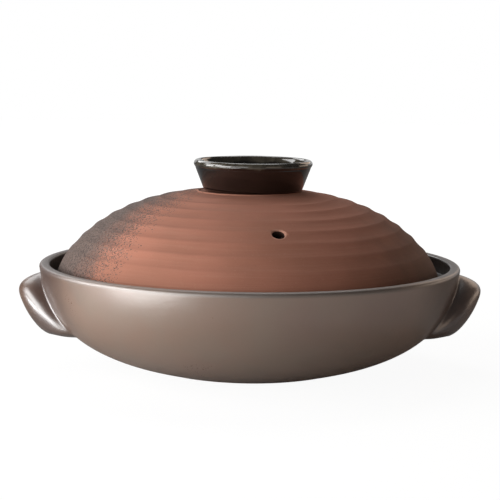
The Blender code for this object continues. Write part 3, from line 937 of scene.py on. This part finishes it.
def spray_cover(look):
    """How much of the lid's clay is hidden by the dark spray, from 0 to 1."""
    split = look.node("ShaderNodeVectorMath", {0: look.place, 1: SPRAY_FACING},
                      operation="DOT_PRODUCT").outputs["Value"]
    ragged = look.drift(look.noise(*SPRAY_DRIFT), SPRAY_WOBBLE)
    distance = look.plus(look.math("SUBTRACT", split, SPRAY_EDGE), ragged)
    away = look.math("DIVIDE", distance, SPRAY_SPREAD)
    chance = look.ramp(away, *DROPS_FADE)
    fine = droplets(look, FINE_DROPS, chance)
    coarse = droplets(look, COARSE_DROPS, look.times(chance, COARSE_SHARE))
    solid = look.ramp(away, *SOLID_FADE)
    return look.math("MAXIMUM", look.math("MAXIMUM", fine, coarse), solid)


def right_side_shade(look):
    """How much painted shade darkens the clay towards its right side, away from the key light."""
    ragged = look.drift(look.noise(*RIGHT_SHADE_DRIFT), RIGHT_SHADE_WOBBLE)
    return look.ramp(look.plus(look.along("X"), ragged), *RIGHT_SHADE_ACROSS)


def vent_distance(look):
    """How far a point lies from the drill's axis."""
    frame_back = vent_frame().inverted()
    turned_place = look.node("ShaderNodeMapping", {
        "Vector": look.place, "Location": frame_back.to_translation(),
        "Rotation": frame_back.to_euler(), "Scale": (1.0, 1.0, 1.0)}).outputs[0]
    flat = look.node("ShaderNodeVectorMath", {0: turned_place, 1: (1.0, 1.0, 0.0)},
                     operation="MULTIPLY").outputs[0]
    return look.node("ShaderNodeVectorMath", {0: flat}, operation="LENGTH").outputs["Value"]


def lid_clay():
    """Matt terracotta with turning lines and grog, darkened by spray on one side.

    Painted shade darkens its other side and the vent's bore; a painted highlight pales the
    vent's bevel.
    """
    look = Look("lid_clay", Specular_IOR_Level=CLAY_SPECULAR)
    lines = look.noise(*CLAY_LINES, where=look.scaled(LINES_STRETCH))
    cloud = look.noise(*CLAY_CLOUD)
    grain = look.noise(*CLAY_GRAIN)
    grog = look.noise(*CLAY_GROG)
    specks = look.noise(*SPRAY_SPECKS)
    off_axis = vent_distance(look)
    ring = look.ramp(off_axis, *RING_EDGE)
    bore_shade = look.ramp(off_axis, *BORE_SHADE_EDGE)
    cover = look.times(spray_cover(look), look.math("SUBTRACT", 1.0, ring))

    colour = look.mix(look.ramp(cloud, *CLAY_CLOUD_RAMP), CLAY_RED, CLAY_BROWN)
    colour = look.mix(look.ramp(lines, *CLAY_LINES_RAMP), colour, CLAY_PALE)
    colour = look.mix(look.ramp(grain, *CLAY_GRAIN_RAMP), colour, CLAY_DARK)
    colour = look.mix(look.ramp(grog, *CLAY_GROG_RAMP), colour, CLAY_PALE)
    # Painted shade on the lid's right side
    colour = look.mix(right_side_shade(look), colour, RIGHT_SHADE_OLIVE)
    soot = look.mix(look.ramp(specks, *SPRAY_SPECKS_RAMP), SPRAY_GREY, SPRAY_DARK)
    colour = look.mix(cover, colour, soot)
    # Painted highlight on the vent's bevel
    colour = look.mix(look.times(ring, RING_HIGHLIGHT_SHARE), colour, CLAY_PALE)
    # Painted shade down the vent's bore
    colour = look.mix(bore_shade, colour, VENT_BORE_SHADE)

    fine = look.bump(grain, *CLAY_GRAIN_BUMP)
    turning = look.bump(lines, *CLAY_LINES_BUMP, onto=fine)
    look.connect(Base_Color=colour, Roughness=look.ramp(cover, 0.0, 1.0, CLAY_ROUGH, SPRAY_ROUGH),
                 Normal=look.bump(cover, *SPRAY_BUMP, onto=turning))
    return look.material


def knob_glaze():
    """Glossy black-brown glaze, which runs off the lip and leaves it thin and olive."""
    look = Look("knob_glaze", Coat_Weight=KNOB_COAT, Coat_Roughness=KNOB_COAT_ROUGH,
                Specular_IOR_Level=KNOB_SPECULAR)
    cloud = look.noise(*KNOB_CLOUD)
    streaks = look.noise(*KNOB_STREAKS, where=look.scaled(STREAKS_STRETCH))
    level = look.plus(look.along("Z"), look.wobble(look.noise(*KNOB_RUNS), OLIVE_WOBBLE))
    thin = look.ramp(level, KNOB_TOP - OLIVE_DROP, KNOB_TOP - OLIVE_DROP * LINE_SOFTNESS)
    thin = look.times(thin, look.ramp(streaks, *KNOB_STREAKS_RAMP))
    colour = look.mix(look.ramp(cloud, *KNOB_CLOUD_RAMP), KNOB_BLACK, KNOB_BROWN)
    colour = look.mix(thin, colour, KNOB_OLIVE)
    look.connect(Base_Color=colour, Roughness=look.spread(look.noise(*KNOB_MOTTLE), *KNOB_ROUGH),
                 Normal=look.bump(look.noise(*KNOB_RIPPLE), *RIPPLE_BUMP))
    return look.material


# Stage, light and camera

# Floor: its tones in reflections, in front of the pot and behind it, and where they meet
# along Y. For the camera, a white that rises with the distance, and the part of it that
# shows shadow
FLOOR_SIZE = 6.0
FLOOR_FRONT = (0.62, 0.62, 0.62)
FLOOR_BACK = (0.10, 0.10, 0.10)
FLOOR_FADE = (-0.10, 0.12)
FLOOR_ROUGHNESS = 0.5
FLOOR_GLOW = (0.30, 1.0, 0.94, 1.0)
FLOOR_SHADE = 0.11

# World: its strength in diffuse light and in reflections
WORLD_FILL = 0.05
WORLD_GLOSS = 0.06

# Softboxes: name, azimuth and elevation in degrees from the pot, width, height, power and
# colour
LAMP_TARGET = (0.0, 0.0, 0.06)
LAMP_DISTANCE = 1.6
WHITE = (1.0, 1.0, 1.0)
WARM = (1.0, 0.78, 0.62)
LAMPS = (
    ("key_low", -150.0, 8.0, 1.0, 0.60, 13.5, WHITE),
    ("key_high", -179.0, 27.0, 1.3, 0.60, 11.0, WHITE),
    ("side_left", 178.0, 1.0, 0.55, 0.50, 9.5, WHITE),
    ("back_left", 120.0, 32.0, 0.8, 0.66, 4.0, WHITE),
    ("back", 90.0, 58.0, 0.8, 0.66, 5.0, WHITE),
    ("front_left", -115.0, 10.0, 0.9, 0.66, 3.8, WHITE),
    ("front_right", -50.0, 8.0, 0.9, 0.66, 1.2, WARM),
    ("side_right", 25.0, 6.0, 0.9, 0.66, 2.1, WARM),
    ("back_right", 56.0, 26.0, 0.8, 0.66, 2.0, WARM),
    ("back_low", 80.0, 9.0, 2.4, 0.50, 1.8, WHITE),
)

# A round card just above the table that shines upwards
CARD_PLACE = (-0.245, -0.245, 0.003)
CARD_DIAMETER = 0.26
CARD_POWER = 0.62


def build_floor():
    """A pale floor that the camera sees as white, with a faint shadow on it."""
    bpy.ops.mesh.primitive_plane_add(size=FLOOR_SIZE, location=(0.0, 0.0, 0.0))
    floor = bpy.context.object
    floor.name = "floor"
    look = Look("floor_paper", Roughness=FLOOR_ROUGHNESS)
    behind = look.ramp(look.along("Y"), *FLOOR_FADE)
    look.connect(Base_Color=look.mix(behind, FLOOR_FRONT, FLOOR_BACK))
    tree = look.tree
    output = tree.nodes["Material Output"]
    rays = tree.nodes.new("ShaderNodeLightPath")
    seen = look.math("MAXIMUM", rays.outputs["Is Camera Ray"],
                     rays.outputs["Is Transmission Ray"])
    away = look.node("ShaderNodeVectorMath", {0: look.place}, operation="LENGTH").outputs["Value"]
    glow = look.ramp(away, *FLOOR_GLOW)
    light = look.node("ShaderNodeEmission", {"Strength": glow})
    paper = look.node("ShaderNodeBsdfDiffuse", {"Color": (FLOOR_SHADE,) * 3 + (1.0,)})
    white = look.node("ShaderNodeAddShader", {0: light.outputs[0], 1: paper.outputs[0]})
    shown = look.node("ShaderNodeMixShader", {0: seen, 1: look.shader.outputs[0],
                                              2: white.outputs[0]})
    tree.links.new(shown.outputs[0], output.inputs["Surface"])
    floor.data.materials.append(look.material)


def build_world():
    """White for the camera, and a faint grey light for everything else."""
    world = bpy.data.worlds.new("studio")
    bpy.context.scene.world = world
    world.use_nodes = True
    tree = world.node_tree
    rays = tree.nodes.new("ShaderNodeLightPath")
    base = tree.nodes["Background"]
    base.inputs["Color"].default_value = (1.0, 1.0, 1.0, 1.0)
    seen = tree.nodes.new("ShaderNodeMath")
    seen.operation = "MAXIMUM"
    tree.links.new(rays.outputs["Is Camera Ray"], seen.inputs[0])
    tree.links.new(rays.outputs["Is Transmission Ray"], seen.inputs[1])
    gloss = tree.nodes.new("ShaderNodeMapRange")
    gloss.inputs["To Min"].default_value = WORLD_FILL
    gloss.inputs["To Max"].default_value = WORLD_GLOSS
    tree.links.new(rays.outputs["Is Glossy Ray"], gloss.inputs["Value"])
    strength = tree.nodes.new("ShaderNodeMix")
    tree.links.new(seen.outputs[0], strength.inputs[0])
    tree.links.new(gloss.outputs[0], strength.inputs[2])
    strength.inputs[3].default_value = 1.0
    tree.links.new(strength.outputs[0], base.inputs["Strength"])


def build_lamp(name, azimuth, elevation, width, height, power, colour):
    lamp = bpy.data.lights.new(name, "AREA")
    lamp.shape = "RECTANGLE"
    lamp.size, lamp.size_y = width, height
    lamp.energy = power
    lamp.color = colour
    made = bpy.data.objects.new(name, lamp)
    turn, rise = math.radians(azimuth), math.radians(elevation)
    away = Vector((math.cos(turn) * math.cos(rise), math.sin(turn) * math.cos(rise),
                   math.sin(rise)))
    made.location = Vector(LAMP_TARGET) + LAMP_DISTANCE * away
    made.rotation_euler = away.to_track_quat("Z", "Y").to_euler()
    bpy.context.scene.collection.objects.link(made)


def build_card():
    card = bpy.data.lights.new("card_left", "AREA")
    card.shape = "DISK"
    card.size = CARD_DIAMETER
    card.energy = CARD_POWER
    made = bpy.data.objects.new("card_left", card)
    made.location = CARD_PLACE
    made.rotation_euler = (math.pi, 0.0, 0.0)
    made.visible_camera = False
    bpy.context.scene.collection.objects.link(made)


def build_camera():
    camera = bpy.data.cameras.new("camera")
    camera.lens = CAMERA_LENS
    camera.sensor_width = CAMERA_SENSOR
    made = bpy.data.objects.new("camera", camera)
    made.matrix_world = (Matrix.Translation(CAMERA_PLACE) @ Matrix.Rotation(CAMERA_PITCH, 4, "X")
                         @ Matrix.Rotation(CAMERA_ROLL, 4, "Z"))
    bpy.context.scene.collection.objects.link(made)
    bpy.context.scene.camera = made


def dress(piece, body, node):
    """Let a piece ride on a body in place of a solid."""
    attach(piece, body)
    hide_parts(node)


def main():
    pot_look, lid_look, knob_look = pot_glaze(), lid_clay(), knob_glaze()
    dress(build_pot(pot_look, shaded_inside_glaze()), "pot", "pot_body")
    dress(build_lug("lug_right", 1.0, LUG_LIFT_RIGHT, LUG_SHOULDER_DROP_RIGHT, pot_look), "pot",
          "handle_right")
    dress(build_lug("lug_left", -1.0, LUG_LIFT_LEFT, LUG_SHOULDER_DROP_LEFT, pot_look), "pot",
          "handle_left")
    dress(build_lid(lid_look), "lid", "lid_dome")
    dress(build_knob(knob_look), "lid", "lid_knob")
    build_floor()
    build_world()
    for lamp in LAMPS:
        build_lamp(*lamp)
    build_card()
    build_camera()
    bpy.context.scene.view_settings.view_transform = "Standard"


main()
